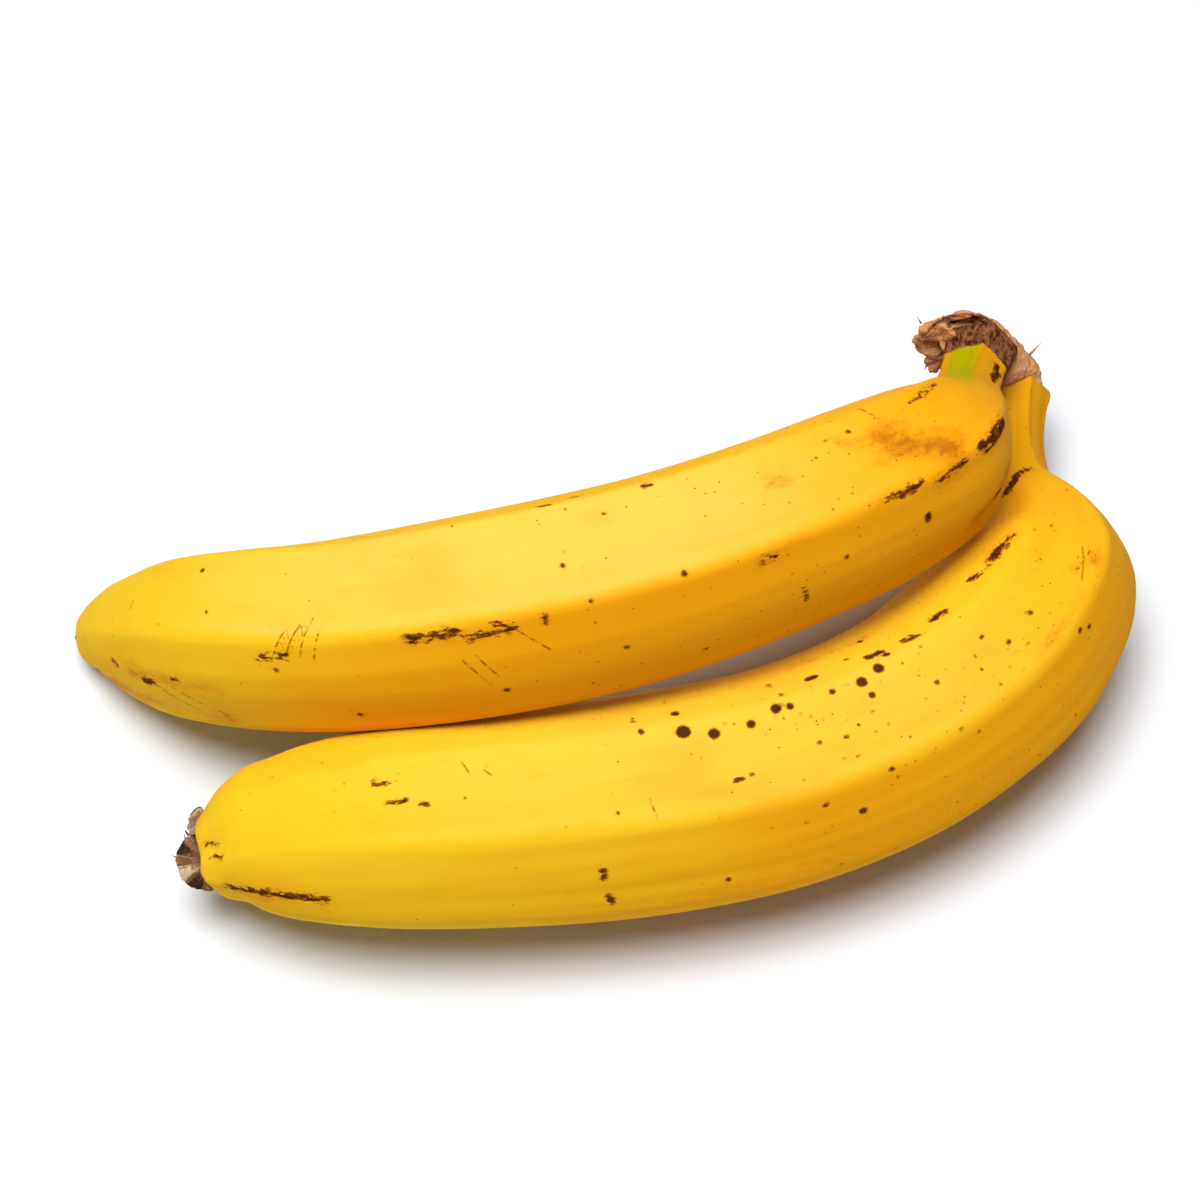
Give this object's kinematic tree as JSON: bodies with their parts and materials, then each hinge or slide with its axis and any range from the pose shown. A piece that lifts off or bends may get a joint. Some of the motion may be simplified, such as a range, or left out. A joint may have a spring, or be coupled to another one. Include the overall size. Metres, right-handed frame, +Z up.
{
  "type": "bunch of bananas",
  "caption": "Bunch of ripe bananas with ridged yellow skins, joined at a dry brown crown, lying on its side as fresh fruit to hold, carry or set on a table.",
  "frame": {"origin": "on the surface that the bunch lies on, under the middle of its bounding box", "axes": "+Z up from the surface; +X along the fruits, from the blossom tips towards the stems' end; +Y from the lower banana towards the upper one and the crown"},
  "size_m": [0.1896, 0.1179, 0.066],
  "materials": {
    "peel": "waxy satin ripe peel with brown flecks and scars",
    "dry_crown": "dry, ragged and fibrous",
    "dry_flower": "dry and crumbly"
  },
  "bodies": {
    "root": {"upper_banana": "peel", "lower_banana": "peel", "crown": "dry_crown", "upper_blossom_end": "dry_flower", "lower_blossom_end": "dry_flower"}
  },
  "joints": []
}
